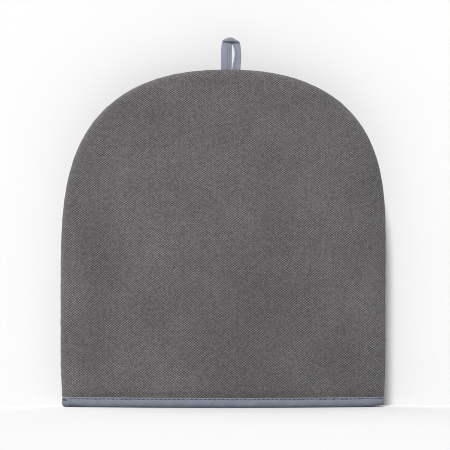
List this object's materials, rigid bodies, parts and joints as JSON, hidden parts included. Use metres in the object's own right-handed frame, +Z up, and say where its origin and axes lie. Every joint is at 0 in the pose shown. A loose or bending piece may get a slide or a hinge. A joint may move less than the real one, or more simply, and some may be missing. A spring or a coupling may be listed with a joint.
{
  "type": "kettle cover",
  "caption": "Padded arch-shaped cloth cover that stands over a kettle on its tape-bound hem, with a folded tape hanging loop in its top seam.",
  "frame": {"origin": "on the floor under the middle of the cover's bounding box, at the underside of the hem binding", "axes": "+X to the right along the width, +Y from the front wall to the back wall through the thickness, +Z up from the hem to the hanging loop"},
  "size_m": [0.2997, 0.07, 0.3406],
  "materials": {
    "grey_canvas": "matt charcoal grey coarse canvas weave, lightly padded",
    "binding_tape": "matt blue-grey cotton bias tape"
  },
  "bodies": {
    "root": {"front_wall": "grey_canvas", "back_wall": "grey_canvas", "hem_binding": "binding_tape", "hanging_loop": "binding_tape"}
  },
  "joints": []
}
